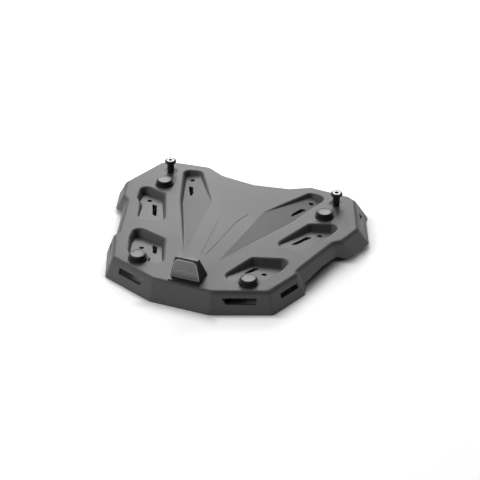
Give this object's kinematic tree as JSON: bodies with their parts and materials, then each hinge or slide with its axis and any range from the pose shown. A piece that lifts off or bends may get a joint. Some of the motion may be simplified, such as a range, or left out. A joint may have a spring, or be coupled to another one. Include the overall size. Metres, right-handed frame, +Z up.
{
  "type": "top case mounting plate",
  "caption": "Moulded top case mounting plate with a flared skirt, recessed fixing holes and slots, mushroom studs, rubber-topped pads and a rear latch block.",
  "frame": {"origin": "centre of the bounding box at the bottom of the skirt", "axes": "+X to the right-hand side, +Y forward from the latch block to the studs, +Z up out of the deck"},
  "size_m": [0.349, 0.29, 0.055],
  "materials": {
    "moulded_plastic": "fine-grained matte",
    "latch_black": "satin black",
    "latch_panel": "matte",
    "stud_black": "satin black",
    "pad_black": "satin black",
    "pad_rubber": "matte",
    "dark_steel": "satin",
    "zinc_steel": "satin"
  },
  "bodies": {
    "root": {"plate": "moulded_plastic", "latch_block": "latch_black", "latch_cover": "latch_panel", "latch_screw_left": "dark_steel", "stud_screw_left": "dark_steel", "stud_washer_left": "zinc_steel", "stud_nut_left": "zinc_steel", "stud_sleeve_left": "stud_black", "pad_base_front_left": "pad_black", "pad_cap_front_left": "pad_rubber", "pad_screw_front_left": "zinc_steel", "pad_base_rear_left": "pad_black", "pad_cap_rear_left": "pad_rubber", "pad_screw_rear_left": "zinc_steel", "latch_screw_right": "dark_steel", "stud_screw_right": "dark_steel", "stud_washer_right": "zinc_steel", "stud_nut_right": "zinc_steel", "stud_sleeve_right": "stud_black", "pad_base_front_right": "pad_black", "pad_cap_front_right": "pad_rubber", "pad_screw_front_right": "zinc_steel", "pad_base_rear_right": "pad_black", "pad_cap_rear_right": "pad_rubber", "pad_screw_rear_right": "zinc_steel"}
  },
  "joints": []
}
